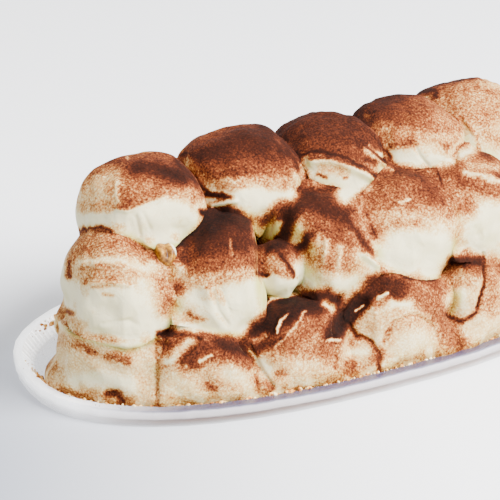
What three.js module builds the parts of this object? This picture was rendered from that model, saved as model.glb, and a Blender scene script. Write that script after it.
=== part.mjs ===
// Cream-coated profiteroles piled three tiers high on a thin clear plastic tray.
//
// Millimetres, +Z up. +X runs along the tray, the front of the pile faces -Y, and the
// origin lies under the middle of the tray, on the surface that it stands on.
//
// A puff is a soft ball of choux pastry in its coat of cream. Where two puffs press
// together, each keeps to its own side of a flat seam, and the bottom tier also keeps to
// the tray's floor and sloping wall.

import * as THREE from 'three';
import { mergeVertices } from 'three/addons/utils/BufferGeometryUtils.js';

const TRAY_LENGTH = 273;
const TRAY_WIDTH = 142;
const TRAY_HEIGHT = 8;
const TRAY_SQUARENESS = 2.4; // 2 is an ellipse, more is squarer
const FLANGE_WIDTH = 3.6;
const WALL_SPREAD = 5.4; // how far the wall leans out between floor and flange
const SKIRT_STEP = 1; // the skirt under the flange steps in by this at mid height
const PLASTIC = 1.1; // thickness of floor, wall, flange and skirt
const TRAY_SIDES = 48;

const GAP = 0.3; // between any two pieces
const PRESS = 11; // how sharply a puff turns into its seams
const ROUNDNESS = 2.3; // a little squarer than an ellipsoid
const SLUMP = 4.4; // the same for the foot of the bottom tier
const FOOT_SPREAD = 0.3; // how much wider than itself a puff of the bottom tier is there
const FOOT_START = 0.1; // how steeply down that begins, as a share of straight down
const FOOT_WHOLE = 0.6; // and where it is reached in full
const BACK_SINK = 2; // the middle tier's back row sits this much lower than its front
const PUFF_DETAIL = 3; // each edge of an icosahedron in 4
const SCRAP_DETAIL = 1; // each edge in 2

// The front rows from the left end, as the pile is seen from its front.
// along, out, up: the middle of the puff, from the tray's middle, towards the front and
// from the table. wide, deep, over, under: from there to its ends, to its front and back,
// to its top and to its bottom. push: its share of the room between it and a neighbour.
const BASE_FRONT = [
  { along: -104, out: 20, up: 21, wide: 23, deep: 25, over: 26, under: 22, push: 23 },
  { along: -75, out: 35, up: 17, wide: 25, deep: 26, over: 24, under: 19, push: 17.5 },
  { along: -35, out: 37, up: 21, wide: 26, deep: 28, over: 26, under: 21, push: 23 },
  { along: 13, out: 38, up: 24, wide: 28, deep: 28, over: 26, under: 24, push: 26 },
  { along: 52, out: 35, up: 24, wide: 20, deep: 28, over: 26, under: 24, push: 16 },
  { along: 79, out: 26, up: 22, wide: 24, deep: 27, over: 24, under: 23, push: 22 },
];
const MIDDLE_FRONT = [
  { along: -103, out: 21, up: 50, wide: 21, deep: 24, over: 26, under: 29, push: 20.5 },
  { along: -61, out: 27, up: 48, wide: 27, deep: 25, over: 28, under: 32, push: 28 },
  { along: -15, out: 29, up: 52, wide: 25, deep: 25, over: 27, under: 28, push: 27 },
  { along: 23, out: 31, up: 54, wide: 25, deep: 25, over: 26, under: 28, push: 26 },
  { along: 60, out: 28, up: 54, wide: 25, deep: 25, over: 27, under: 28, push: 27 },
];
// The top row runs over the middle, and the whole pile lies a little askew in its tray.
const TOP = [
  { along: -84, out: 8, up: 76, wide: 27, deep: 26, over: 22, under: 26, push: 23 },
  { along: -36, out: 3, up: 77, wide: 28, deep: 26, over: 23, under: 26, push: 27 },
  { along: 5, out: 5, up: 77, wide: 26, deep: 26, over: 23, under: 26, push: 24 },
  { along: 44, out: 3, up: 77, wide: 27, deep: 26, over: 23, under: 26, push: 27 },
  { along: 84, out: -7, up: 76, wide: 28, deep: 26, over: 22, under: 26, push: 27 },
];
// A small puff is caught in the groove between the second and third of the middle tier,
// and a scrap of bare pastry shows under the left end of the top row.
const SMALL_PUFF = [
  { along: -37, out: 37, up: 51, wide: 9, deep: 11, over: 11, under: 11, push: 10 },
];
const BARE_PASTRY = [
  { along: -86, out: 31, up: 66, wide: 4.5, deep: 5.5, over: 4.5, under: 4.5, push: 5 },
];

const COLOURS = {
  top: '#8c5a3c', middle: '#b98f6f', base: '#d8c3a6', pastry: '#c8923c', tray: '#dcdce0',
};

// ---- Measures ----

function norm(power, ...shares) {
  return shares.reduce((sum, share) => sum + Math.abs(share) ** power, 0) ** (1 / power);
}

// The tray's outline from above, as the sides between its corners: which way each side faces,
// and which way its first corner goes when every side is set in by 1 mm.
function makeOutline() {
  const corners = Array.from({ length: TRAY_SIDES }, (_, i) => {
    const angle = (2 * Math.PI * i) / TRAY_SIDES;
    const [along, across] = [Math.cos(angle), Math.sin(angle)].map(
      (share) => Math.sign(share) * Math.abs(share) ** (2 / TRAY_SQUARENESS),
    );
    return new THREE.Vector2((along * TRAY_LENGTH) / 2, (across * TRAY_WIDTH) / 2);
  });
  const ways = corners.map((corner, i) => {
    const side = corners[(i + 1) % TRAY_SIDES].clone().sub(corner).normalize();
    return new THREE.Vector2(side.y, -side.x);
  });
  return corners.map((corner, i) => {
    const last = ways[(i + TRAY_SIDES - 1) % TRAY_SIDES];
    const inward = ways[i].clone().add(last).divideScalar(-1 - ways[i].dot(last));
    return { corner, outward: ways[i], inward };
  });
}

const outline = makeOutline();

// The room inside the tray, up to its wall and no lower than its floor.
function isInTray({ x, y, z }) {
  const depth = Math.max(TRAY_HEIGHT - z, 0) / (TRAY_HEIGHT - PLASTIC);
  const inset = FLANGE_WIDTH + GAP + WALL_SPREAD * depth;
  const place = new THREE.Vector2(x, y);
  const isInside = ({ corner, outward }) => place.clone().sub(corner).dot(outward) < -inset;
  return z > PLASTIC + GAP && outline.every(isInside);
}

// How far a point can go one way before it leaves the room inside the tray.
function reachInTray(start, direction) {
  let [inside, outside] = [0, TRAY_LENGTH];
  while (outside - inside > 0.01) {
    const middle = (inside + outside) / 2;
    const point = start.clone().addScaledVector(direction, middle);
    if (isInTray(point)) inside = middle;
    else outside = middle;
  }
  return inside;
}

// ---- Places ----

function makeRow(name, tier, row) {
  return row.map((puff, i) => ({
    ...puff,
    tier,
    name: row.length > 1 ? `${name}_${i + 1}` : name,
    centre: new THREE.Vector3(puff.along, -puff.out, puff.up),
  }));
}

// A back row is the front row turned half round, and lower by sink.
function turnRow(row, sink) {
  return row.map((puff) => ({
    ...puff, along: -puff.along, out: -puff.out, up: puff.up - sink,
  }));
}

const puffs = [
  ...makeRow('base_front', 'base', BASE_FRONT),
  ...makeRow('base_back', 'base', turnRow(BASE_FRONT, 0)),
  ...makeRow('middle_front', 'middle', MIDDLE_FRONT),
  ...makeRow('middle_back', 'middle', turnRow(MIDDLE_FRONT, BACK_SINK)),
  ...makeRow('top', 'top', TOP),
  ...makeRow('small_puff', 'middle', SMALL_PUFF),
  ...makeRow('bare_pastry', 'pastry', BARE_PASTRY),
];

// ---- Meshes ----

// One closed mesh: shared corners are one vertex, and triangles of no width are left out.
function closed(geometry) {
  const bare = new THREE.BufferGeometry();
  bare.setAttribute('position', geometry.getAttribute('position'));
  bare.setIndex(geometry.index);
  const merged = mergeVertices(bare, 1e-3);
  const corners = Array.from(merged.index.array);
  const kept = [];
  for (let i = 0; i < corners.length; i += 3) {
    const [a, b, c] = corners.slice(i, i + 3);
    if (a !== b && b !== c && c !== a) kept.push(a, b, c);
  }
  merged.setIndex(kept);
  return merged;
}

// The flat seams of a puff: which way each faces, and how far from the puff's middle.
function seamsOf(puff) {
  return puffs.filter((other) => other !== puff).map((other) => {
    const facing = other.centre.clone().sub(puff.centre);
    const share = puff.push / (puff.push + other.push);
    const distance = facing.length() * share - GAP / 2;
    return { facing: facing.normalize(), distance };
  });
}

// How far the surface of a puff is from its middle in one direction.
function reachOf(puff, seams, direction) {
  const { x, y, z } = direction;
  const slump = puff.tier === 'base' ? THREE.MathUtils.smoothstep(-z, FOOT_START, FOOT_WHOLE) : 0;
  const power = THREE.MathUtils.lerp(ROUNDNESS, SLUMP, slump);
  const spread = 1 + FOOT_SPREAD * slump;
  const round = norm(power, x / (puff.wide * spread), y / (puff.deep * spread));
  const ball = norm(power, round, z / (z > 0 ? puff.over : puff.under));
  const pressed = seams.map((seam) => Math.max(direction.dot(seam.facing), 0) / seam.distance);
  return Math.min(1 / norm(PRESS, ball, ...pressed), reachInTray(puff.centre, direction));
}

function makePuff(puff) {
  const detail = puff.tier === 'pastry' ? SCRAP_DETAIL : PUFF_DETAIL;
  const ball = closed(new THREE.IcosahedronGeometry(1, detail));
  const vertices = ball.getAttribute('position');
  const seams = seamsOf(puff);
  for (let i = 0; i < vertices.count; i += 1) {
    const direction = new THREE.Vector3().fromBufferAttribute(vertices, i).normalize();
    const point = direction.clone().multiplyScalar(reachOf(puff, seams, direction));
    vertices.setXYZ(i, point.x, point.y, point.z);
  }
  const coat = new THREE.MeshStandardMaterial({ color: COLOURS[puff.tier], roughness: 0.6 });
  const mesh = new THREE.Mesh(ball, coat);
  mesh.name = puff.name;
  mesh.position.copy(puff.centre);
  return mesh;
}

// Thin sheet with a sloping wall, a flange, and a skirt from the flange to the table. The
// section is given from the tray's outer edge inwards and from the table up.
function makeTray() {
  const toMiddle = TRAY_LENGTH / 2;
  const wallTop = TRAY_HEIGHT - PLASTIC;
  const slope = WALL_SPREAD / wallTop;
  const wallAcross = PLASTIC * Math.hypot(1, slope);
  const underWall = (height) => FLANGE_WIDTH + slope * (TRAY_HEIGHT - height) - wallAcross;
  const stepTop = TRAY_HEIGHT / 2;
  const stepFoot = stepTop - SKIRT_STEP;
  const section = [
    [toMiddle, 0],
    [underWall(0), 0],
    [underWall(wallTop), wallTop],
    [PLASTIC, wallTop],
    [PLASTIC, stepTop],
    [PLASTIC + SKIRT_STEP, stepFoot],
    [PLASTIC + SKIRT_STEP, 0],
    [SKIRT_STEP, 0],
    [SKIRT_STEP, stepFoot],
    [0, stepTop],
    [0, TRAY_HEIGHT],
    [FLANGE_WIDTH, TRAY_HEIGHT],
    [FLANGE_WIDTH + WALL_SPREAD, PLASTIC],
    [toMiddle, PLASTIC],
  ];
  const profile = section.map(([inset, height]) => new THREE.Vector2(toMiddle - inset, height));
  const tray = closed(new THREE.LatheGeometry(profile, TRAY_SIDES).rotateX(Math.PI / 2));

  // From rings round the middle to the tray's outline, set in all round.
  const vertices = tray.getAttribute('position');
  for (let i = 0; i < vertices.count; i += 1) {
    const radius = Math.hypot(vertices.getX(i), vertices.getY(i));
    const turn = Math.atan2(vertices.getY(i), vertices.getX(i)) / (2 * Math.PI);
    const { corner, inward } = outline[Math.round((turn + 1) * TRAY_SIDES) % TRAY_SIDES];
    const place = corner.clone().addScaledVector(inward, toMiddle - radius);
    if (radius > GAP) vertices.setXY(i, place.x, place.y);
  }
  const plastic = new THREE.MeshStandardMaterial({ color: COLOURS.tray, roughness: 0.15 });
  const mesh = new THREE.Mesh(tray, plastic);
  mesh.name = 'tray';
  return mesh;
}

const profiteroles = new THREE.Group();
profiteroles.add(makeTray(), ...puffs.map(makePuff));

export default profiteroles;
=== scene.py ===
# Cream-coated profiteroles dusted with cocoa, piled in three tiers on a clear plastic tray.
import math

import bmesh
import bpy
import numpy as np
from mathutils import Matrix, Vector


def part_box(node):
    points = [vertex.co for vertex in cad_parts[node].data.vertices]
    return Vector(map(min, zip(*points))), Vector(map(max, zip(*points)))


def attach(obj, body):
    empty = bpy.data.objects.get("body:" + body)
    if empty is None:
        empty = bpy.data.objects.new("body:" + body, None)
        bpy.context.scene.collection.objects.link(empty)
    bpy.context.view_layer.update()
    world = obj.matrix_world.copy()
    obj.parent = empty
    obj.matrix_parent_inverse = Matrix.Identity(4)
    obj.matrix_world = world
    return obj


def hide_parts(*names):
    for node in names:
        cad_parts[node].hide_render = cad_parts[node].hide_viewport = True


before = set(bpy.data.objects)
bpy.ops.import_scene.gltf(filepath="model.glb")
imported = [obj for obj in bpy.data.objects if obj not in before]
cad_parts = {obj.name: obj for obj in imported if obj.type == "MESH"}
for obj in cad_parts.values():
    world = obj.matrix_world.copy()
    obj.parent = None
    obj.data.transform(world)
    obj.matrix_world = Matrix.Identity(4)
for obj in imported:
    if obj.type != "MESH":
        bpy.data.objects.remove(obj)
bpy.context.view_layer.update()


# ---- Camera -------------------------------------------------------------------------
# It stands in front of the pile's left end and looks a little down on it. The middle of
# the tray is seen right of and below the middle of the picture.

def unit(x, y, z):
    return np.array([x, y, z]) / math.sqrt(x * x + y * y + z * z)


picture_side = 500
camera_distance = 0.982
pixels_per_metre = 2240  # at the middle of the tray
tray_seen_at = (310, 308)
around, above = math.radians(-29.6), math.radians(26)
tray_middle = np.array([0, 0, 0.008])

towards_camera = unit(
    math.sin(around) * math.cos(above), -math.cos(around) * math.cos(above), math.sin(above))
picture_right = unit(math.cos(around), math.sin(around), 0)
picture_up = np.cross(towards_camera, picture_right)
focal_pixels = pixels_per_metre * camera_distance
aside = (picture_side / 2 - tray_seen_at[0]) / focal_pixels
upwards = (tray_seen_at[1] - picture_side / 2) / focal_pixels

camera = bpy.data.objects.new("camera", bpy.data.cameras.new("camera"))
bpy.context.scene.collection.objects.link(camera)
bpy.context.scene.camera = camera
camera.data.sensor_width = 36
camera.data.lens = focal_pixels / picture_side * camera.data.sensor_width
camera.location = tray_middle + towards_camera * camera_distance
sight = Vector(picture_right * aside + picture_up * upwards - towards_camera)
camera.rotation_mode = "QUATERNION"
camera.rotation_quaternion = sight.to_track_quat("-Z", "Y")


def picture_points(points):
    """Where points in metres are seen, in pixels of the 500 x 500 picture."""
    turn = np.array(camera.rotation_quaternion.to_matrix())
    local = (points - np.array(camera.location)) @ turn
    scale = focal_pixels / -local[:, 2]
    middle = picture_side / 2
    return np.stack([middle + local[:, 0] * scale, middle - local[:, 1] * scale], axis=1)


# ---- Floor and light ----------------------------------------------------------------
# A seamless sheet of pale grey paper in a white studio, with painted shade that darkens it
# left of the tray; a wide soft lamp from above on the right, a weaker one from the left,
# and light from all round.

def linear(colour):
    """An sRGB colour such as #8c5a3c as linear RGBA."""
    shares = [int(colour[i:i + 2], 16) / 255 for i in (1, 3, 5)]
    return [c / 12.92 if c <= 0.04045 else ((c + 0.055) / 1.055) ** 2.4 for c in shares] + [1]


def add_node(tree, kind, links=None, **settings):
    """A node of this kind: settings are its properties, links its inputs."""
    node = tree.nodes.new(kind)
    for name, value in settings.items():
        setattr(node, name, value)
    for name, value in (links or {}).items():
        if isinstance(value, bpy.types.NodeSocket):
            tree.links.new(value, node.inputs[name])
        else:
            node.inputs[name].default_value = value
    return node


def new_material(name):
    material = bpy.data.materials.new(name)
    material.use_nodes = True
    material.node_tree.nodes.clear()
    return material, material.node_tree


def show(tree, surface):
    add_node(tree, "ShaderNodeOutputMaterial", {"Surface": surface.outputs[0]})


def mesh_object(name, points, faces, material=None):
    mesh = bpy.data.meshes.new(name)
    mesh.from_pydata([tuple(p) for p in points], [], [tuple(f) for f in faces])
    if material:
        mesh.materials.append(material)
    thing = bpy.data.objects.new(name, mesh)
    bpy.context.scene.collection.objects.link(thing)
    return thing


paper, tree = new_material("matt backdrop paper")
where = add_node(tree, "ShaderNodeTexCoord")
# painted shade: the paper's colour darkens round a spot left of the tray and pales further out
dim_place, dim_radius, pale_radius = (-0.27, -0.031, 0), 0.03, 0.32
away = add_node(tree, "ShaderNodeVectorMath", {
    0: where.outputs["Object"], 1: dim_place,
}, operation="DISTANCE")
painted_shade_fade = add_node(tree, "ShaderNodeMapRange", {
    "Value": away.outputs["Value"], "From Min": dim_radius, "From Max": pale_radius,
}, interpolation_type="SMOOTHSTEP")
shade = add_node(tree, "ShaderNodeMixRGB", {
    "Fac": painted_shade_fade.outputs[0], "Color1": linear("#7f8593"), "Color2": linear("#fbfbfd"),
})
show(tree, add_node(tree, "ShaderNodeBsdfPrincipled", {
    "Base Color": shade.outputs["Color"], "Roughness": 0.9,
}))
floor_half = 6
floor_corners = [(x * floor_half, y * floor_half, 0) for x, y in ((-1, -1), (1, -1), (1, 1), (-1, 1))]
floor = mesh_object("floor", floor_corners, [(0, 1, 2, 3)], paper)


def add_lamp(name, place, size, power):
    lamp = bpy.data.objects.new(name, bpy.data.lights.new(name, "AREA"))
    bpy.context.scene.collection.objects.link(lamp)
    lamp.data.size = size
    lamp.data.energy = power
    lamp.location = place
    lamp.rotation_euler = Vector(place).to_track_quat("Z", "Y").to_euler()


add_lamp("key lamp", place=(0.55, -0.85, 1.1), size=0.8, power=100)
add_lamp("fill lamp", place=(-0.9, -0.5, 0.9), size=0.8, power=1.5)
world = bpy.data.worlds.new("studio")
world.use_nodes = True
all_round = world.node_tree.nodes["Background"]
all_round.inputs["Color"].default_value = linear("#f1f3f6")
all_round.inputs["Strength"].default_value = 1.5
bpy.context.scene.world = world


# ---- Tray ---------------------------------------------------------------------------
# One thin sheet of clear plastic, drawn over a mould with a flange, a stepped skirt and
# fine ribs up its sloping wall. Its milky white is a painted glow, weaker along the front,
# and its front skirt has painted reflections and shade in bands. The sheet's solid has the
# right shape and keeps it; the ribs lie on its wall.

half_length, half_width, tray_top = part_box("tray")[1]
tray_squareness, sheet, flange, wall_spread = 2.4, 0.0011, 0.0036, 0.0054


def set_tones(node, *stops):
    """Gives a colour ramp its stops, pairs of a position and a colour, from low to high."""
    elements = node.color_ramp.elements
    for element, (position, colour) in zip(elements, (stops[0], stops[-1])):
        element.position = position
        element.color = linear(colour)
    for position, colour in stops[1:-1]:
        elements.new(position).color = linear(colour)


# painted reflections and shade: the front skirt is toned in bands, darker along its edges, as
# clear plastic would show what is behind and round it; the rest is white, and the whole sheet
# has a painted glow in its own tone, brightest away from the front
clear_plastic, tree = new_material("clear plastic sheet, vacuum formed")
where = add_node(tree, "ShaderNodeTexCoord")
ripples_per_metre = 120
ripples = add_node(tree, "ShaderNodeTexNoise", {
    "Vector": where.outputs["Object"], "Scale": ripples_per_metre, "Detail": 3,
})
bump = add_node(tree, "ShaderNodeBump", {
    "Height": ripples.outputs["Fac"], "Strength": 0.4, "Distance": 0.0008,
})
place_parts = add_node(tree, "ShaderNodeSeparateXYZ", {0: where.outputs["Object"]})
millimetres = 1000.0
height_mm = add_node(tree, "ShaderNodeMath", {
    0: place_parts.outputs["Z"], 1: millimetres,
}, operation="MULTIPLY")
wavy_by = 1.4  # in mm
wavy = add_node(tree, "ShaderNodeMath", {
    0: ripples.outputs["Fac"], 1: wavy_by, 2: -wavy_by / 2,
}, operation="MULTIPLY_ADD")
wavy_height = add_node(tree, "ShaderNodeMath", {
    0: height_mm.outputs[0], 1: wavy.outputs[0],
}, operation="ADD")
share_up = add_node(tree, "ShaderNodeMapRange", {
    "Value": wavy_height.outputs[0], "From Max": tray_top * millimetres,
})
painted_reflection_bands = add_node(tree, "ShaderNodeValToRGB", {"Fac": share_up.outputs[0]})
set_tones(painted_reflection_bands, (0.0, "#b9b1ae"), (0.30, "#8d6549"), (0.38, "#5f5056"), (0.44, "#d9cfcd"),
          (0.84, "#d6d0d5"), (0.94, "#625c74"), (1.0, "#55506a"))
front_share = add_node(tree, "ShaderNodeMapRange", {
    "Value": place_parts.outputs["Y"], "From Min": -0.030, "From Max": -0.058, "To Max": 1.0,
})
tone_with_painted_reflections = add_node(tree, "ShaderNodeMixRGB", {
    "Fac": front_share.outputs[0], "Color1": linear("#ffffff"), "Color2": painted_reflection_bands.outputs["Color"],
})
haze = add_node(tree, "ShaderNodeMapRange", {
    "Value": wavy_height.outputs[0], "From Min": 0.5, "From Max": 7.0, "To Min": 0.12, "To Max": 0.88,
})
# painted glow: how strongly the sheet glows, from 0.95 at the back down to 0.26 along the front
painted_glow = add_node(tree, "ShaderNodeMapRange", {
    "Value": front_share.outputs[0], "To Min": 0.95, "To Max": 0.26,
})
show(tree, add_node(tree, "ShaderNodeBsdfPrincipled", {
    "Base Color": tone_with_painted_reflections.outputs["Color"], "Roughness": 0.12, "IOR": 1.5, "Alpha": haze.outputs[0],
    "Transmission Weight": 0.35, "Coat Weight": 0.8, "Normal": bump.outputs["Normal"],
    "Emission Color": tone_with_painted_reflections.outputs["Color"], "Emission Strength": painted_glow.outputs[0],
}))
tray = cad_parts["tray"]
tray.data.materials.clear()
tray.data.materials.append(clear_plastic)


def along_tray(inset, spacing, height):
    """Points on the tray's outline, set in and evenly spaced, and which way each looks out."""
    steps = 2000
    angle = np.linspace(0, 2 * math.pi, steps, endpoint=False)
    shares = [np.sign(f) * np.abs(f) ** (2 / tray_squareness) for f in (np.cos(angle), np.sin(angle))]
    path = np.stack([half_length * shares[0], half_width * shares[1]], axis=1)
    side = np.roll(path, -1, axis=0) - np.roll(path, 1, axis=0)
    out = np.stack([side[:, 1], -side[:, 0]], axis=1) / np.linalg.norm(side, axis=1)[:, None]
    path = path - out * inset
    walked = np.concatenate([[0], np.cumsum(np.linalg.norm(np.roll(path, -1, axis=0) - path, axis=1))])
    stops = np.linspace(0, walked[-1], round(walked[-1] / spacing), endpoint=False)
    chosen = np.searchsorted(walked, stops, side="right") - 1
    return np.c_[path[chosen], np.full(len(chosen), height)], out[chosen]


def node_group(name, **inputs):
    """An empty Geometry Nodes tree with one input for each size."""
    group = bpy.data.node_groups.new(name, "GeometryNodeTree")
    group.interface.new_socket("Geometry", in_out="INPUT", socket_type="NodeSocketGeometry")
    group.interface.new_socket("Geometry", in_out="OUTPUT", socket_type="NodeSocketGeometry")
    for title, value in inputs.items():
        kind = "NodeSocketInt" if isinstance(value, int) else "NodeSocketFloat"
        socket = group.interface.new_socket(title, in_out="INPUT", socket_type=kind)
        socket.default_value = value
    return group, add_node(group, "NodeGroupInput"), add_node(group, "NodeGroupOutput")


def end_group(group, output, geometry, material):
    """Ends a node tree in real meshes with their material."""
    real = add_node(group, "GeometryNodeRealizeInstances", {"Geometry": geometry})
    painted = add_node(group, "GeometryNodeSetMaterial", {"Geometry": real.outputs[0], "Material": material})
    group.links.new(painted.outputs[0], output.inputs["Geometry"])


def grow(name, guide, group, **values):
    """The plain mesh that a node tree makes on a guide object, which it takes the place of."""
    modifier = guide.modifiers.new(group.name, "NODES")
    modifier.node_group = group
    for socket in group.interface.items_tree:
        if socket.in_out == "INPUT" and socket.name in values:
            modifier[socket.identifier] = values[socket.name]
    shape = guide.evaluated_get(bpy.context.evaluated_depsgraph_get())
    grown = bpy.data.objects.new(name, bpy.data.meshes.new_from_object(shape))
    bpy.data.objects.remove(guide)
    bpy.context.scene.collection.objects.link(grown)
    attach(grown, "root")
    return grown


rib_spacing, rib_width, rib_height, ribbed_share = 0.0032, 0.0007, 0.0005, 0.9
wall_drop = tray_top - sheet
wall_length = math.hypot(wall_spread, wall_drop)
places, outs = along_tray(flange + wall_spread / 2, rib_spacing, tray_top - wall_drop / 2 + rib_height / 4)
rib_guide = mesh_object("rib_guide", places, [])
turns = rib_guide.data.attributes.new("turn", "FLOAT_VECTOR", "POINT")
slopes = [(0, -math.atan2(wall_drop, wall_spread), math.atan2(out[1], out[0])) for out in outs]
turns.data.foreach_set("vector", np.array(slopes, np.float32).ravel())
group, given, result = node_group("ribs", Length=0.01, Width=0.001, Height=0.001)
size = add_node(group, "ShaderNodeCombineXYZ", {
    "X": given.outputs["Length"], "Y": given.outputs["Width"], "Z": given.outputs["Height"],
})
rib = add_node(group, "GeometryNodeMeshCube", {"Size": size.outputs[0]})
turn = add_node(group, "GeometryNodeInputNamedAttribute", {"Name": "turn"}, data_type="FLOAT_VECTOR")
ribs = add_node(group, "GeometryNodeInstanceOnPoints", {
    "Points": given.outputs["Geometry"], "Instance": rib.outputs["Mesh"],
    "Rotation": turn.outputs["Attribute"],
})
end_group(group, result, ribs.outputs["Instances"], clear_plastic)
tray_ribs = grow("tray_ribs", rib_guide, group,
                 Length=wall_length * ribbed_share, Width=rib_width, Height=rib_height)


# ---- Cream and cocoa ----------------------------------------------------------------
# Every puff is choux pastry under a thick coat of whipped cream, with cocoa sifted over
# the whole pile. Cream is smooth and a little glossy, and light goes some way into it.
# Cocoa is dull, from tan specks to a thick dark layer. Its powder is too fine to show, so
# it is drawn in clumps of about 1 mm.

coat, tree = new_material("whipped cream sifted with cocoa")
where = add_node(tree, "ShaderNodeTexCoord")
cocoa = add_node(tree, "ShaderNodeAttribute", attribute_name="cocoa")
groove = add_node(tree, "ShaderNodeAttribute", attribute_name="groove")
grains_per_metre, clouds_per_metre = 1100, 190
grain = add_node(tree, "ShaderNodeTexNoise", {
    "Vector": where.outputs["Object"], "Scale": grains_per_metre, "Detail": 2, "Roughness": 0.7,
})
cloud = add_node(tree, "ShaderNodeTexNoise", {
    "Vector": where.outputs["Object"], "Scale": clouds_per_metre, "Detail": 3, "Roughness": 0.6,
})
grain_part = add_node(tree, "ShaderNodeMath", {
    0: grain.outputs["Fac"], 1: 1.3, 2: -0.65,
}, operation="MULTIPLY_ADD")
cloud_part = add_node(tree, "ShaderNodeMath", {
    0: cloud.outputs["Fac"], 1: 0.45, 2: -0.22,
}, operation="MULTIPLY_ADD")
mixed = add_node(tree, "ShaderNodeMath", {
    0: grain_part.outputs[0], 1: cloud_part.outputs[0],
}, operation="ADD")

# bare cream has no specks, and a thick layer cakes together and loses its own
speckled = add_node(tree, "ShaderNodeMapRange", {
    "Value": cocoa.outputs["Fac"], "From Max": 0.3, "To Max": 0.85,
})
caked = add_node(tree, "ShaderNodeMapRange", {
    "Value": cocoa.outputs["Fac"], "From Min": 0.6, "From Max": 0.9, "To Min": 1.0, "To Max": 0.35,
})
uneven = add_node(tree, "ShaderNodeMath", {
    0: speckled.outputs[0], 1: caked.outputs[0],
}, operation="MULTIPLY")
specks = add_node(tree, "ShaderNodeMath", {
    0: mixed.outputs[0], 1: uneven.outputs[0],
}, operation="MULTIPLY")
layer = add_node(tree, "ShaderNodeMath", {
    0: cocoa.outputs["Fac"], 1: specks.outputs[0],
}, operation="ADD")
tones = add_node(tree, "ShaderNodeValToRGB", {"Fac": layer.outputs[0]})
set_tones(tones, (0.04, "#d8cfa8"), (0.14, "#caac76"), (0.28, "#b5844b"), (0.42, "#8b5026"),
          (0.58, "#602b13"), (0.78, "#321206"), (1.0, "#110401"))
# painted shade: the colour is darkened and tinted yellow where the puff's painted shade is high
cream_with_painted_shade = add_node(tree, "ShaderNodeMixRGB", {
    "Fac": groove.outputs["Fac"], "Color1": tones.outputs["Color"], "Color2": linear("#dcdca0"),
}, blend_type="MULTIPLY")
cream_hidden_at = 0.4
rough = add_node(tree, "ShaderNodeMapRange", {
    "Value": layer.outputs[0], "From Max": cream_hidden_at, "To Min": 0.45, "To Max": 0.95,
})
soft = add_node(tree, "ShaderNodeMapRange", {
    "Value": layer.outputs[0], "From Max": cream_hidden_at, "To Min": 0.25, "To Max": 0,
})
height = add_node(tree, "ShaderNodeMath", {
    0: layer.outputs[0], 1: grain.outputs["Fac"],
}, operation="MULTIPLY")
whisk_marks_per_metre = 150
whisk_marks = add_node(tree, "ShaderNodeTexNoise", {
    "Vector": where.outputs["Object"], "Scale": whisk_marks_per_metre, "Detail": 4, "Distortion": 0.6,
})
whisked = add_node(tree, "ShaderNodeBump", {
    "Height": whisk_marks.outputs["Fac"], "Strength": 0.45, "Distance": 0.0016,
})
bump = add_node(tree, "ShaderNodeBump", {
    "Height": height.outputs[0], "Strength": 0.35, "Distance": 0.0006, "Normal": whisked.outputs["Normal"],
})
show(tree, add_node(tree, "ShaderNodeBsdfPrincipled", {
    "Base Color": cream_with_painted_shade.outputs["Color"], "Roughness": rough.outputs[0], "Specular IOR Level": 0.12,
    "Subsurface Weight": soft.outputs[0], "Subsurface Radius": (1, 0.8, 0.5), "Subsurface Scale": 0.003,
    "Normal": bump.outputs["Normal"],
}))


def ball_grid(subdivisions, cuts, lean):
    """The directions and triangles of a ball, finer towards the camera by lean."""
    ball = bmesh.new()
    bmesh.ops.create_icosphere(ball, subdivisions=subdivisions, radius=1)
    if cuts:
        bmesh.ops.subdivide_edges(ball, edges=ball.edges[:], cuts=cuts, use_grid_fill=True)
    bmesh.ops.triangulate(ball, faces=ball.faces[:])
    points = np.array([v.co[:] for v in ball.verts])
    faces = np.array([[v.index for v in f.verts] for f in ball.faces])
    ball.free()
    points /= np.linalg.norm(points, axis=1)[:, None]
    points += lean * towards_camera
    return points / np.linalg.norm(points, axis=1)[:, None], faces


fine_ball = ball_grid(subdivisions=5, cuts=2, lean=0.3)
coarse_ball = ball_grid(subdivisions=5, cuts=1, lean=0)


def waves(points, length, seed, stretch=(1, 1, 1)):
    """A smooth random field, mostly from -1 to 1, whose lumps are about length across."""
    draw = np.random.default_rng(seed)
    count = 36
    ways = draw.normal(size=(count, 3))
    ways *= (2 * math.pi / length * draw.uniform(0.6, 1.4, count) / np.linalg.norm(ways, axis=1))[:, None]
    phase = draw.uniform(0, 2 * math.pi, count)
    return np.cos(points / np.array(stretch) @ ways.T + phase).sum(axis=1) / (count / 4)


def step(low, high, value):
    """0 up to low, 1 from high, and smooth in between. It falls where low is above high."""
    share = np.clip((value - low) / (high - low), 0, 1)
    return share * share * (3 - 2 * share)


corners = {}
for name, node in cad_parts.items():
    if name != "tray":
        places = np.array([v.co[:] for v in node.data.vertices])
        corners[name] = np.unique(np.round(places, 6), axis=0)
centres = {name: places.mean(axis=0) for name, places in corners.items()}

# how far each solid reaches from its middle, by height angle and turn: smooth, and through
# all of its corners
rows_of_table, turns_of_table, bell = 61, 120, 22
reaches = {}
for name, places in corners.items():
    rays = places - centres[name]
    lengths = np.linalg.norm(rays, axis=1)
    rays /= lengths[:, None]
    weights = np.linalg.solve(np.exp(bell * (rays @ rays.T - 1)), lengths - lengths.mean())
    tilt, turn = np.meshgrid(np.linspace(0, math.pi, rows_of_table),
                             np.arange(turns_of_table) * 2 * math.pi / turns_of_table, indexing="ij")
    grid = np.stack([np.sin(tilt) * np.cos(turn), np.sin(tilt) * np.sin(turn), np.cos(tilt)], axis=2)
    reaches[name] = np.exp(bell * (grid @ rays.T - 1)) @ weights + lengths.mean()


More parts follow.
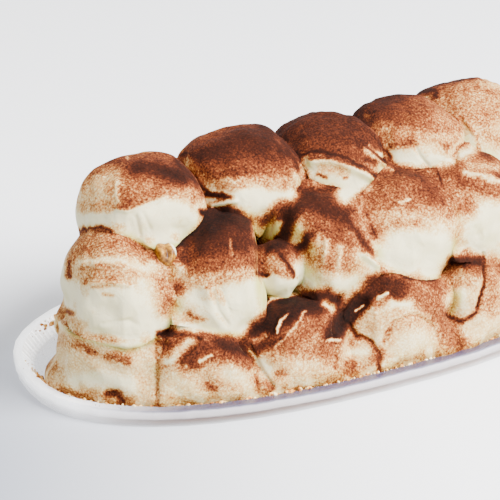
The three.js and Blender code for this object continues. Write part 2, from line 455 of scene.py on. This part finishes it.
def reach_of(name, ways):
    """How far the solid reaches from its middle in these directions."""
    row = np.arccos(np.clip(ways[:, 2], -1, 1)) / math.pi * (rows_of_table - 1)
    turn = np.arctan2(ways[:, 1], ways[:, 0]) / (2 * math.pi) % 1 * turns_of_table
    low, left = np.minimum(row.astype(int), rows_of_table - 2), turn.astype(int) % turns_of_table
    right = (left + 1) % turns_of_table
    down, across = row - low, turn - np.floor(turn)
    table = reaches[name]
    upper = table[low, left] * (1 - across) + table[low, right] * across
    lower = table[low + 1, left] * (1 - across) + table[low + 1, right] * across
    return upper * (1 - down) + lower * down


neighbours_within, deepest_touch, widest_gap, seam_overlap = 0.08, 0.002, 0.0025, 0.0001
fill_in_tier = {"top": 0.006, "mid": 0.016, "bas": 0.012}
fill_between_tiers, fill_at_small_puff = 0.010, 0.005


def seams_of(name):
    """The seams of a puff: its neighbour, which way it is, how far the seam is from the
    puff's middle, and how wide the cream fills the valley along it."""
    seams = []
    for other in corners:
        facing = centres[other] - centres[name]
        apart = np.linalg.norm(facing)
        if other == name or apart > neighbours_within or "bare_pastry" in (name, other):
            continue
        facing /= apart
        own = ((corners[name] - centres[name]) @ facing).max()
        theirs = apart - ((corners[other] - centres[other]) @ -facing).max()
        if -deepest_touch < theirs - own < widest_gap:
            tier = name[:3]
            fill = fill_in_tier[tier] if other.startswith(tier) else fill_between_tiers
            if "small" in name + other:
                fill = fill_at_small_puff
            seams.append((other, facing, (own + theirs) / 2 + seam_overlap, fill))
    return seams


def normals_of(points, faces):
    """Which way a surface faces at each of its points."""
    first, second, third = (points[faces[:, corner]] for corner in range(3))
    cross = np.cross(second - first, third - first)
    total = np.zeros_like(points)
    for corner in range(3):
        for axis in range(3):
            total[:, axis] += np.bincount(faces[:, corner], cross[:, axis], len(points))
    return total / np.linalg.norm(total, axis=1)[:, None]


def share_under(seen, stroke):
    """How much each seen point lies under a brush stroke along a line of picture points."""
    line = np.array(stroke["line"], float)
    nearest = np.full(len(seen), np.inf)
    margin = 2 * stroke["width"]
    before = line.max(axis=0) + margin < seen.min(axis=0)
    beyond = line.min(axis=0) - margin > seen.max(axis=0)
    if before.any() or beyond.any():
        return np.zeros(len(seen))
    starts, ends = (line[:-1], line[1:]) if len(line) > 1 else (line, line)
    for start, end in zip(starts, ends):
        along = end - start
        share = np.clip((seen - start) @ along / max(along @ along, 1e-9), 0, 1)
        nearest = np.minimum(nearest, np.linalg.norm(seen - start - share[:, None] * along, axis=1))
    return np.exp(-(nearest / stroke["width"]) ** stroke["edge"])


def ragged(seen, place):
    """Seen points pushed about by a pixel or two, so that strokes on them get uneven edges."""
    large, small, pixels = 0.007, 0.0025, 1.3
    push = [waves(place, large, seed=seed) + 0.5 * waves(place, small, seed=seed + 1) for seed in (21, 31)]
    return seen + pixels * np.stack(push, axis=1)


half_turn = np.array([-1, -1, 1])


def strokes_on(kind, strokes, turned_strokes, place, outward):
    """The height or level of each stroke of a kind, and how much every point lies under it."""
    for marks, turn in ((strokes, 1), (turned_strokes, half_turn)):
        marks = [mark for mark in marks if kind in mark]
        if marks:
            seen = picture_points(place * turn)
            if kind == "cocoa":
                seen = ragged(seen, place)
            front = step(-0.02, 0.1, (outward * turn) @ towards_camera)
            for mark in marks:
                yield mark[kind], share_under(seen, mark) * front


def dab(level, width, *line, edge=2):
    """Cocoa as thick as level, laid along a line of picture points."""
    return {"cocoa": level, "width": width, "line": line, "edge": edge}


def ridge(rise, width, *line, edge=2):
    """A ridge, or below nought a furrow, in millimetres."""
    return {"rise": rise / 1000, "width": width, "line": line, "edge": edge}


# sizes in metres, and cocoa from 0 for none to 1 for a thick layer
most_cream, most_cream_on_small_puff, settling_rounds, settling = 0.02, 0.003, 8, 0.6
lump_rise, lump_length = 0.0009, 0.024
small_lump_rise, small_lump_length = 0.0004, 0.011
furrow_depth, furrow_length = 0.0003, 0.010
wrinkle_rise, wrinkle_length, wrinkled_patch = 0.00016, 0.0045, 0.03
seam_wander, wander_length, sheet_gap = 0.0015, 0.022, 0.0002
seam_cocoa, stray_cocoa, foot_cocoa, foot_height = 0.3, 0.12, 0.24, 0.018
no_cocoa_facing, all_cocoa_facing = 0, 0.87  # how far a surface faces up


def make_puff(name, dust, wash=0.02, strokes=(), turned_strokes=(), grid=fine_ball):
    """A coated puff in place of its solid. dust is how thick the cocoa lies on top, wash the
    thin brown film below. Strokes are laid as the camera sees them, turned strokes as it
    would see them with the pile turned half round."""
    ways, faces = grid
    centre = centres[name]
    own = reach_of(name, ways)
    seams = seams_of(name)
    furthest = own + (most_cream_on_small_puff if name == "small_puff" else most_cream)
    to_sheet = (centre[2] - sheet - sheet_gap) / np.maximum(-ways[:, 2], 1e-6)

    # cream fills the valleys between neighbours, so that both coats run on into each other
    reach = own.copy()
    for _ in range(settling_rounds):
        place = centre + ways * reach[:, None]
        above, fill = reach - own, 0
        for other, _, _, width in seams:
            offset = place - centres[other]
            apart = np.linalg.norm(offset, axis=1)
            beyond = apart - reach_of(other, offset / apart[:, None])
            fill = fill + np.maximum(width - np.abs(reach - own - beyond), 0) ** 2 / (4 * width)
            above = np.minimum(above, beyond)
        reach = np.minimum(reach - settling * (above - fill), furthest)

    # soft lumps and folds that run on from puff to puff, and strokes
    place = centre + ways * reach[:, None]
    outward = normals_of(place, faces)
    relief = lump_rise * waves(place, lump_length, seed=1)
    relief += small_lump_rise * waves(place, small_lump_length, seed=2)
    relief += furrow_depth * (0.6 - np.abs(waves(place, furrow_length, seed=3, stretch=(1, 1, 2.5))))
    wrinkled = step(-0.2, 0.8, waves(place, wrinkled_patch, seed=12))
    relief += wrinkle_rise * waves(place, wrinkle_length, seed=11) * wrinkled
    for rise, under in strokes_on("rise", strokes, turned_strokes, place, outward):
        relief += rise * under
    reach = reach + relief * step(0.003, 0.012, place[:, 2])
    outward = normals_of(centre + ways * reach[:, None], faces)

    # each keeps to its own side of a seam, which wanders a little, and above the tray's floor
    pressed = np.full(len(ways), np.inf)
    for other, way, distance, _ in seams:
        wander = seam_wander * waves(place, wander_length, seed=7) * (1 if name < other else -1)
        pressed = np.minimum(pressed, (distance + wander) / np.maximum(ways @ way, 1e-6))
    closeness = reach / pressed
    reach = np.minimum(np.minimum(reach, pressed), to_sheet)
    place = centre + ways * reach[:, None]

    # cocoa lies on what faces up, in seams, in stray patches, in strokes and round the foot
    up = outward[:, 2] + 0.22 * waves(place, 0.026, seed=4)
    up += 0.12 * waves(place, 0.009, seed=5, stretch=(1, 1, 1.6))
    cocoa = dust * step(no_cocoa_facing, all_cocoa_facing, up)
    cocoa += seam_cocoa * step(0.93, 1.0, closeness) * step(0.2, 0.8, up)
    cocoa += stray_cocoa * step(0.2, 0.8, waves(place, 0.012, seed=6)) * step(-0.5, 0.2, up)
    cocoa = np.maximum(cocoa, wash * (1 + 0.5 * waves(place, 0.018, seed=10)))
    for level, under in strokes_on("cocoa", strokes, turned_strokes, place, outward):
        cocoa += (level - cocoa) * under
    blotches = waves(place, 0.006, seed=8) + 0.5 * waves(place, 0.02, seed=9)
    foot = step(foot_height, foot_height / 3, place[:, 2]) * step(-0.5, 0.5, blotches)
    cocoa += foot_cocoa * foot * step(0.1, -0.2, cocoa - 0.4)

    # painted shade: the cream is darkened and tinted yellow in the grooves, round the foot and
    # where it faces down under an overhang
    shaded = step(0.1, -0.6, outward[:, 2] + 0.15 * waves(place, 0.02, seed=13))
    groove = np.maximum(0.8 * foot, 0.5 * shaded)
    groove = np.maximum(step(0.80, 1.0, closeness) * step(0.5, -0.1, up), groove)

    puff = mesh_object(name + "_coat", place, faces, coat)
    puff.data.polygons.foreach_set("use_smooth", np.ones(len(faces), bool))
    puff.data.normals_split_custom_set_from_vertices(outward)  # bent as one coat across the seams
    for title, values in (("cocoa", np.clip(cocoa, 0, 1)), ("groove", groove)):
        attribute = puff.data.attributes.new(title, "FLOAT", "POINT")
        attribute.data.foreach_set("value", values.astype(np.float32))
    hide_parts(name)
    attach(puff, "root")
    return puff


base_strokes = (
    # first puff: a band of cocoa under the lip of the one above, and a torn brown patch
    dab(0.3, 7, (60, 340), (85, 352), (110, 358), (150, 356)),
    dab(0.15, 14, (70, 356), (110, 366), (148, 368)), dab(0.5, 4.5, (78, 345), (92, 352)),
    dab(0.48, 4.5, (108, 355), (128, 360)), dab(0.34, 5, (50, 342), (46, 362)),
    dab(0.04, 9, (75, 380), (105, 378), (132, 384)), dab(0.3, 7, (48, 385), (62, 394), (92, 401)),
    dab(0.2, 6, (140, 375), (148, 395)), dab(0.72, 4, (107, 394), (117, 394), (122, 402), edge=3),
    ridge(-1.4, 4, (107, 394), (117, 394), (122, 402)),
    ridge(-1.2, 2, (156, 340), (157, 375), (157, 405)), dab(0.42, 2, (157, 340), (158, 378), (157, 405)),
    # second: a dark swirl, a pale streak, and a brown patch round a pale slit
    dab(0.26, 12, (172, 372), (200, 382), (232, 384)),
    dab(0.88, 3.5, (159, 334), (174, 332), (188, 334), (201, 338), edge=3),
    dab(0.7, 3, (160, 341), (167, 346), (176, 344), (183, 338)), ridge(1.0, 3, (170, 341)),
    dab(0.05, 6, (168, 362), (180, 354), (192, 343)), ridge(1.2, 2.2, (203, 340), (196, 350), (184, 362)),
    dab(0.76, 11, (188, 362), (203, 350), (220, 344), (238, 348), (250, 356), edge=4),
    dab(0.62, 8, (203, 359), (228, 356), (246, 360)), dab(0.9, 5, (222, 344), (248, 352)),
    dab(0.05, 2, (201, 361), (210, 355)), dab(0.4, 1.5, (158, 368), (172, 366)),
    dab(0.12, 8, (175, 380), (190, 386)), dab(0.1, 7, (228, 376), (244, 378)),
    dab(0.6, 3.5, (207, 386), (213, 388)), dab(0.35, 4, (190, 372), (186, 368)),
    # the crease between the second and the third, dark on its left side
    ridge(-1.6, 2.5, (244, 342), (257, 362), (272, 387)),
    dab(0.72, 2, (244, 344), (255, 364), (268, 386)), dab(0.05, 1.6, (250, 350), (262, 366), (274, 384)),
    # third: a dark band with pale slits, over tan and ivory
    dab(0.52, 18, (282, 352), (305, 332), (325, 320), (328, 345)),
    dab(0.2, 11, (264, 376), (290, 366), (318, 370)),
    dab(0.95, 13, (260, 332), (278, 320), (300, 307), (322, 300), (332, 299), edge=4),
    dab(0.8, 4, (246, 340), (256, 348), (272, 344), (284, 336)), dab(0.45, 4, (254, 340), (266, 336)),
    dab(0.06, 1.5, (277, 330), (280, 320), (288, 314), edge=3),
    ridge(1.2, 2, (277, 330), (280, 320), (287, 314)), dab(0.25, 1.2, (276, 347), (290, 332), (306, 311)),
    dab(0.1, 4, (325, 303), (333, 310)), dab(0.04, 6, (262, 362), (270, 370)),
    dab(0.45, 3, (277, 373), (284, 372)), ridge(-1.4, 2, (340, 300), (334, 330), (335, 366)),
    dab(0.45, 2, (334, 340), (335, 366)),
    # fourth: near-black cocoa in its hollows, partly painted shade, with pale curls, an ivory
    # lobe and a round ivory bulge
    dab(0.3, 12, (398, 320), (425, 326), (445, 348)), dab(0.22, 10, (360, 320), (385, 316), (400, 318)),
    dab(0.82, 11, (362, 290), (376, 284), (394, 288), (404, 294), edge=4),
    dab(0.52, 11, (414, 294), (432, 306), (447, 324), (454, 336), edge=3),
    dab(0.97, 10, (364, 300), (350, 312), (340, 324), (334, 334), edge=4),
    ridge(-2.2, 7, (362, 304), (340, 328)),
    dab(0.8, 2.2, (347, 325), (357, 335), (371, 341), (380, 356), (379, 370)),
    ridge(-1, 2, (347, 325), (357, 335), (371, 341), (380, 356), (379, 370)),
    dab(0.02, 1.8, (378, 297), (387, 293), edge=3), ridge(1, 2, (378, 297), (387, 293)),
    dab(0.1, 1.5, (356, 311), (364, 305), edge=3), dab(0.05, 1.5, (328, 340), (340, 340), edge=3),
    dab(0.06, 10, (352, 352), (364, 352)), ridge(1.6, 9, (356, 352)),
    dab(0.04, 4.5, (393, 304), (410, 304)), dab(0.09, 12, (402, 345), (422, 338), (432, 352)),
    dab(0.26, 5, (396, 328), (415, 322)), ridge(1.6, 15, (412, 338)),
    dab(0.36, 1.6, (384, 340), (394, 322), (415, 314), (434, 326), (442, 346)),
    ridge(-0.8, 2, (384, 340), (394, 322), (415, 314), (434, 326), (442, 346)),
    # fifth and sixth: dark tops, a pale window and a crease between them
    dab(0.5, 7, (447, 270), (446, 288)), dab(0.88, 5.5, (452, 261), (464, 261), (480, 261), edge=3),
    dab(0.3, 8, (462, 280), (476, 282)), dab(0.06, 5, (463, 292), (464, 306)),
    dab(0.8, 2.5, (447, 314), (460, 322), (476, 314)),
    dab(0.9, 1.8, (484, 257), (484, 285), (477, 307), edge=3),
    ridge(-1.4, 2, (484, 256), (484, 285), (477, 307)), dab(0.42, 8, (493, 262), (493, 300)),
    dab(0.14, 7, (470, 332), (498, 322)),
)
middle_strokes = (
    # first: a brown band over faint streaks, and a bright lip over the puff below
    dab(0.42, 8, (82, 240), (110, 244), (140, 254)),
    dab(0.7, 2.5, (78, 232), (90, 228), (104, 228), (112, 232)),
    dab(0.55, 4, (126, 240), (146, 251), (158, 259)), dab(0.08, 5, (80, 262), (118, 260), (148, 270)),
    dab(0.36, 2, (80, 270), (100, 267), (126, 269)), dab(0.3, 1.8, (84, 279), (104, 277), (122, 281)),
    dab(0.34, 1.6, (92, 288), (114, 285)), dab(0.4, 1.6, (104, 294), (113, 297)),
    dab(0.33, 10, (84, 274), (124, 277)), dab(0.65, 3, (69, 264), (69, 276)),
    dab(0.62, 3, (60, 309), (72, 314)), dab(0.26, 5, (66, 319), (84, 325)),
    dab(0.03, 14, (115, 308), (140, 300)), dab(0.02, 12, (95, 322), (135, 325)),
    ridge(1.8, 4, (60, 322), (77, 334), (97, 341), (128, 344), (150, 340)),
    ridge(-0.35, 2.5, (103, 323), (128, 321), (137, 325)), ridge(0.7, 2, (96, 267), (104, 268)),
    ridge(0.6, 2.5, (78, 266), (104, 263), (126, 268)),
    ridge(0.6, 2.5, (84, 285), (110, 282), (130, 286)),
    # second: a near-black crown, rust below it, ivory at the foot with soft folds
    dab(0.98, 10, (204, 236), (214, 222), (226, 213), edge=3), dab(0.9, 6, (236, 214), (248, 222)),
    dab(0.8, 10, (208, 248), (235, 236), (255, 245)), dab(0.6, 10, (195, 268), (225, 262), (256, 262)),
    dab(0.9, 3, (256, 272), (266, 275)), dab(0.32, 6, (190, 284), (220, 280), (250, 274)),
    dab(0.42, 10, (172, 268), (166, 308)), dab(0.6, 3, (169, 300), (172, 304)),
    dab(0.5, 4, (188, 313), (204, 321)), dab(0.02, 10, (195, 300), (225, 312), (248, 300)),
    dab(0.03, 6, (180, 326), (225, 328)), ridge(-0.6, 2, (213, 292), (218, 310), (228, 324)),
    ridge(-0.4, 2, (222, 290), (230, 312)), ridge(0.7, 5, (208, 290), (213, 312), (222, 326)),
    ridge(-0.5, 1.5, (230, 240), (232, 254)), dab(0.4, 1.5, (230, 240), (232, 254)),
    # third: dark crown and right side, tan with pale streaks, ivory at its foot
    dab(0.85, 8, (290, 204), (304, 196), (322, 204), (342, 218), edge=3),
    dab(0.9, 9, (294, 200), (288, 218), (284, 236), (274, 248), edge=3),
    dab(0.85, 4, (346, 218), (360, 236), (372, 254)), dab(0.6, 8, (316, 222), (338, 230), (350, 244)),
    dab(0.42, 17, (312, 254), (330, 260), (348, 266)), dab(0.75, 3, (294, 248), (304, 244), (308, 236)),
    dab(0.2, 2.4, (318, 236), (314, 252)), dab(0.18, 2.4, (326, 240), (324, 262)),
    dab(0.2, 2.4, (340, 246), (338, 268)), dab(0.5, 1.8, (333, 244), (330, 266)),
    ridge(0.8, 2, (326, 240), (324, 262)), ridge(0.8, 2, (340, 246), (338, 268)),
    dab(0.02, 8, (298, 268), (312, 282)), dab(0.03, 9, (338, 285), (355, 282)),
    dab(0.02, 5, (362, 256), (374, 264)), ridge(1.4, 2.5, (361, 254), (374, 265)),
    # the pocket between the second and the third, over the small puff: its near-black dabs are
    # cocoa and painted shade
    dab(0.72, 6, (262, 222), (271, 215), (281, 205)), dab(0.05, 3.5, (271, 236), (280, 224), edge=3),
    ridge(1.5, 3, (271, 236), (280, 222)), dab(0.85, 5, (300, 249), (306, 243), (308, 236)),
    dab(0.36, 8, (274, 262), (284, 268)), dab(0.95, 2.5, (268, 250), (278, 244), edge=3),
    dab(0.85, 2, (280, 254), (287, 264), (294, 277), edge=3), dab(0.6, 4, (262, 252), (264, 268)),
    dab(0.02, 7, (278, 284), (292, 286)),
    # fourth: brown top with white dabs, smooth ivory below
    dab(0.78, 4, (395, 170), (420, 176), (434, 196)), dab(0.55, 12, (378, 196), (408, 192), (424, 204)),
    dab(0.42, 7, (360, 205), (362, 222)), dab(0.15, 1.6, (400, 202), (409, 200)),
    dab(0.7, 3, (437, 192), (443, 203)), dab(0.3, 8, (378, 216), (404, 216), (432, 214)),
    dab(0.02, 14, (395, 240), (425, 238)), dab(0.02, 9, (388, 256), (432, 254)),
    ridge(1.2, 10, (430, 236)),
    # fifth: tan with a ragged pale wisp
    dab(0.46, 9, (450, 190), (468, 200), (456, 210)), dab(0.1, 3, (465, 172), (480, 174), (498, 181)),
    dab(0.3, 5, (470, 164), (498, 168)), dab(0.5, 4, (478, 184), (498, 192)),
    dab(0.25, 6, (450, 225), (460, 240)), dab(0.03, 10, (488, 216), (482, 240)),
    ridge(1, 3, (465, 172), (480, 174), (498, 181)),
)
top_strokes = (
    # first: tan on the left, dark towards the right, a pale swoosh over ivory
    dab(0.92, 10, (136, 169), (160, 171), (184, 179)), dab(0.2, 12, (90, 196), (100, 184), (112, 178)),
    dab(0.46, 11, (128, 188), (152, 186)), dab(0.36, 8, (170, 194), (192, 196)),
    dab(0.28, 6, (84, 208), (112, 205)), dab(0.02, 6, (86, 220), (108, 218), (128, 216), edge=3),
    dab(0.02, 9, (140, 214), (165, 206), (185, 212)), dab(0.02, 9, (150, 232), (172, 224)),
    dab(0.12, 1.6, (117, 182), (116, 190), (117, 199)), ridge(0.4, 2.4, (116, 181), (117, 200)),
    dab(0.2, 1.2, (127, 156), (128, 160)),
    ridge(0.9, 2.5, (118, 209), (128, 211), (146, 203), (164, 197)),
    ridge(-0.5, 2.2, (136, 217), (140, 234)), ridge(-0.4, 2, (143, 213), (150, 228)),
    # the dark pocket between the first, the second and the puff below: cocoa and painted shade
    dab(0.9, 3.5, (206, 194), (220, 196), (232, 198), edge=3),
    dab(0.95, 4, (202, 213), (214, 210), edge=3),
    dab(0.03, 2.5, (212, 205), (226, 203), (236, 200), edge=3), ridge(1.2, 2.5, (212, 205), (236, 200)),
    # cream sags round the scrap of bare pastry
    ridge(4, 8, (150, 243), (168, 240)), ridge(4, 7, (178, 250), (178, 264)),
    ridge(4, 7, (152, 260), (168, 272)),
    # second: dark red-brown, rust and tan bands, ivory under them
    dab(0.84, 16, (205, 150), (235, 138), (262, 148)), dab(0.62, 9, (205, 172), (240, 165), (278, 168)),
    dab(0.32, 5, (222, 182), (262, 180), (290, 180)), dab(0.02, 8, (240, 196), (270, 196), (290, 194)),
    dab(0.85, 2.5, (280, 134), (294, 160), (304, 182)),
    dab(0.85, 2.5, (176, 160), (192, 178), (208, 192)),
    # third: dark crown, a curved lip over an ivory patch with a stain
    dab(0.78, 13, (300, 130), (330, 120), (360, 138)),
    dab(0.7, 5, (305, 148), (330, 147), (355, 155), (374, 162)),
    dab(0.88, 2, (300, 156), (310, 151), (328, 152), (350, 160), (368, 170), edge=3),
    ridge(1.8, 4, (312, 162), (330, 160), (350, 167), (372, 178)),
    dab(0.02, 10, (318, 172), (340, 176), (362, 180), (345, 195), edge=3),
    dab(0.26, 6, (322, 168), (345, 170)), dab(0.62, 2, (318, 174), (327, 178)),
    dab(0.55, 1.6, (344, 178), (348, 177)), dab(0.3, 4, (302, 165), (302, 178)),
    dab(0.8, 2.5, (350, 114), (366, 127), (382, 146), (394, 165)),
    dab(0.25, 1.5, (364, 148), (380, 162), (392, 169)), ridge(0.8, 2, (364, 148), (380, 162), (392, 169)),
    ridge(-0.8, 1.5, (370, 146), (386, 160)),
    # fourth: speckled brown, with folds in the ivory at its foot
    dab(0.58, 15, (382, 118), (405, 112), (425, 120)), dab(0.62, 5, (392, 146), (412, 141)),
    dab(0.42, 9, (440, 122), (455, 130)), dab(0.3, 6, (425, 140), (452, 138)),
    dab(0.03, 7, (400, 158), (425, 160), (450, 160)), dab(0.04, 6, (462, 154), (472, 150)),
    ridge(-1, 2, (415, 145), (421, 156), (433, 172)), ridge(-0.9, 2, (457, 146), (455, 165)),
    ridge(0.9, 3, (448, 146), (446, 164)), dab(0.5, 1.6, (446, 98), (462, 120), (476, 136), (480, 150)),
    dab(0.4, 1.2, (468, 122), (478, 140)), ridge(0.7, 2, (464, 118), (474, 134)),
    # fifth: light tan specks
    dab(0.36, 16, (468, 102), (490, 112)), dab(0.3, 10, (485, 135), (498, 140)),
)

all_strokes = base_strokes + middle_strokes + top_strokes
for row, slot, wash, dust in (
    ("base_front", "light_coat", 0.13, (0.4, 0.6, 0.7, 0.65, 0.6, 0.5)),
    ("base_back", "light_coat", 0.13, (0.6,) * 6),
    ("middle_front", "brown_coat", 0.03, (0.4, 0.9, 0.75, 0.6, 0.6)),
    ("middle_back", "brown_coat", 0.03, (0.65,) * 5),
    ("top", "dark_coat", 0.03, (0.64, 0.84, 0.76, 0.46, 0.36)),
):
    for number, thick in enumerate(dust, 1):
        puff = make_puff(
            f"{row}_{number}", thick, wash=wash, grid=coarse_ball if "back" in row else fine_ball,
            strokes=() if "back" in row else all_strokes,
            turned_strokes=() if "front" in row else all_strokes)
small_puff = make_puff("small_puff", 0.8, strokes=middle_strokes, grid=coarse_ball)


# ---- Bare pastry --------------------------------------------------------------------
# A scrap of choux that the cream left bare: golden egg dough with a crackled, baked skin,
# ochre with brown edges, a little shiny where it is moist.

pastry, tree = new_material("choux pastry, baked golden, smeared with cream")
where = add_node(tree, "ShaderNodeTexCoord")
crackle_per_metre = 420
crackle = add_node(tree, "ShaderNodeTexNoise", {
    "Vector": where.outputs["Object"], "Scale": crackle_per_metre, "Detail": 4, "Roughness": 0.65,
})
tones = add_node(tree, "ShaderNodeValToRGB", {"Fac": crackle.outputs["Fac"]})
set_tones(tones, (0.34, "#3f1b04"), (0.48, "#80500a"), (0.68, "#c08a20"))
bare = add_node(tree, "ShaderNodeAttribute", attribute_name="cocoa")
bare_share = add_node(tree, "ShaderNodeMapRange", {
    "Value": bare.outputs["Fac"], "From Min": 0.05, "From Max": 0.25,
})
smeared = add_node(tree, "ShaderNodeMixRGB", {
    "Fac": bare_share.outputs[0], "Color1": linear("#ece6c4"), "Color2": tones.outputs["Color"],
})
bump = add_node(tree, "ShaderNodeBump", {
    "Height": crackle.outputs["Fac"], "Strength": 0.6, "Distance": 0.0008,
})
show(tree, add_node(tree, "ShaderNodeBsdfPrincipled", {
    "Base Color": smeared.outputs["Color"], "Roughness": 0.42, "Normal": bump.outputs["Normal"],
}))
bare_patch = (
    dab(1, 9, (161, 248), (168, 262), edge=5),
    ridge(1.1, 3, (159, 247), (162, 254)), ridge(-0.9, 1.8, (165, 246), (168, 256)),
    ridge(0.9, 2.5, (171, 252), (168, 262)),
)
bare_pastry = make_puff("bare_pastry", 0, wash=0, strokes=bare_patch, grid=coarse_ball)
bare_pastry.data.materials[0] = pastry


# ---- Crumbs and specks --------------------------------------------------------------
# Pastry crumbs and drops of browned cream lie where the coats meet the tray's wall, and
# cocoa that missed the puffs lies in specks on the wall, the flange and the bare floor.

def ring_guide(name, rails):
    """A strip of faces along the tray, with more on it the nearer the puffs are. Its rails
    are pairs of how far in from the tray's edge and how high they run."""
    spacing, foot_height, strewn_within = 0.003, 0.014, 0.007
    count = len(along_tray(rails[0][0], spacing, 0)[0])
    rows = []
    for inset, height in rails:
        row = along_tray(inset, spacing / 4, height)[0]
        rows.append(row[np.linspace(0, len(row), count, endpoint=False).astype(int)])
    faces = []
    for start in range(0, (len(rows) - 1) * count, count):
        for i in range(count):
            along = (i + 1) % count
            faces.append((start + i, start + along, start + count + along, start + count + i))
    points = np.concatenate(rows)
    near = np.full(len(points), np.inf)
    for puff, places in corners.items():
        if puff.startswith("base"):
            low = places[places[:, 2] < foot_height]
            apart = np.linalg.norm(points[:, None, :2] - low[None, :, :2], axis=2)
            near = np.minimum(near, apart.min(axis=1))
    guide = mesh_object(name, points, faces)
    share = guide.data.attributes.new("share", "FLOAT", "POINT")
    share.data.foreach_set("value", np.exp(-(near / strewn_within) ** 2).astype(np.float32))
    return guide


def scatter_group(name, subdivisions):
    """Scatters small uneven lumps over a guide's faces, and makes each one different."""
    group, given, result = node_group(
        name, Density=1000.0, Smallest=0.001, Largest=0.002, Flatness=0.6, Seed=1)
    share = add_node(group, "GeometryNodeInputNamedAttribute", {"Name": "share"}, data_type="FLOAT")
    density = add_node(group, "ShaderNodeMath", {
        0: share.outputs["Attribute"], 1: given.outputs["Density"],
    }, operation="MULTIPLY")
    spots = add_node(group, "GeometryNodeDistributePointsOnFaces", {
        "Mesh": given.outputs["Geometry"], "Density": density.outputs[0], "Seed": given.outputs["Seed"],
    })
    size = add_node(group, "FunctionNodeRandomValue", {
        "Min": 0.0, "Max": 1.0, "Seed": given.outputs["Seed"],
    }, data_type="FLOAT")
    mostly_small = 2.5
    small = add_node(group, "ShaderNodeMath", {
        0: size.outputs["Value"], 1: mostly_small,
    }, operation="POWER")
    scale = add_node(group, "ShaderNodeMapRange", {
        "Value": small.outputs[0], "To Min": given.outputs["Smallest"], "To Max": given.outputs["Largest"],
    })
    turn = add_node(group, "FunctionNodeRandomValue", {
        "Seed": given.outputs["Seed"],
    }, data_type="FLOAT_VECTOR")
    turn.inputs["Max"].default_value = (2 * math.pi,) * 3
    length, width = 0.6, 0.45
    flat = add_node(group, "ShaderNodeCombineXYZ", {
        "X": length, "Y": width, "Z": given.outputs["Flatness"],
    })
    shape = add_node(group, "ShaderNodeVectorMath", {
        0: flat.outputs[0], "Scale": scale.outputs[0],
    }, operation="SCALE")
    lump = add_node(group, "GeometryNodeMeshIcoSphere", {"Radius": 1.0, "Subdivisions": subdivisions})
    lumps = add_node(group, "GeometryNodeInstanceOnPoints", {
        "Points": spots.outputs["Points"], "Instance": lump.outputs["Mesh"],
        "Rotation": turn.outputs["Value"], "Scale": shape.outputs[0],
    })
    real = add_node(group, "GeometryNodeRealizeInstances", {"Geometry": lumps.outputs["Instances"]})
    dents_per_metre = 900
    noise = add_node(group, "ShaderNodeTexNoise", {"Scale": dents_per_metre, "Detail": 1})
    centred = add_node(group, "ShaderNodeVectorMath", {
        0: noise.outputs["Color"], 1: (0.5, 0.5, 0.5),
    }, operation="SUBTRACT")
    push = add_node(group, "ShaderNodeVectorMath", {0: centred.outputs[0]}, operation="SCALE")
    group.links.new(given.outputs["Smallest"], push.inputs["Scale"])  # uneven by about its size
    bent = add_node(group, "GeometryNodeSetPosition", {
        "Geometry": real.outputs[0], "Offset": push.outputs[0],
    })
    return group, result, bent


def crumb_material(name, *stops):
    """Crumbs of mixed tones: each about as wide as a lump of the noise, so of one tone."""
    material, tree = new_material(name)
    where = add_node(tree, "ShaderNodeTexCoord")
    patches_per_metre = 450
    patches = add_node(tree, "ShaderNodeTexNoise", {
        "Vector": where.outputs["Object"], "Scale": patches_per_metre, "Detail": 2,
    })
    tones = add_node(tree, "ShaderNodeValToRGB", {"Fac": patches.outputs["Fac"]})
    set_tones(tones, *stops)
    bump = add_node(tree, "ShaderNodeBump", {
        "Height": patches.outputs["Fac"], "Strength": 0.5, "Distance": 0.0005,
    })
    show(tree, add_node(tree, "ShaderNodeBsdfPrincipled", {
        "Base Color": tones.outputs["Color"], "Roughness": 0.7, "Specular IOR Level": 0.3,
        "Normal": bump.outputs["Normal"],
    }))
    return material


crumb_mix = crumb_material(
    "pastry crumbs, baked and soaked",
    (0.3, "#3a170a"), (0.4, "#9a5420"), (0.5, "#d99a45"), (0.6, "#f1d79a"), (0.7, "#f8efd6"))
group, result, lumps = scatter_group("crumbs", subdivisions=2)
end_group(group, result, lumps.outputs[0], crumb_mix)
crumb_rails = ((0.0040, 0.0080), (0.0055, 0.0068), (0.0072, 0.0052))
foot_crumbs = grow("foot_crumbs", ring_guide("crumb_guide", crumb_rails), group,
                   Density=700000.0, Smallest=0.0005, Largest=0.0028, Flatness=0.35, Seed=5)

speck_cocoa = crumb_material("sifted cocoa specks", (0.4, "#3b160b"), (0.6, "#8a4524"))
group, result, lumps = scatter_group("specks", subdivisions=1)
end_group(group, result, lumps.outputs[0], speck_cocoa)
speck_rails = ((0.0006, 0.0081), (0.0034, 0.0081), (0.0090, 0.0012), (0.0170, 0.0012))
cocoa_specks = grow("cocoa_specks", ring_guide("speck_guide", speck_rails), group,
                    Density=150000.0, Smallest=0.00012, Largest=0.0005, Flatness=0.5, Seed=9)
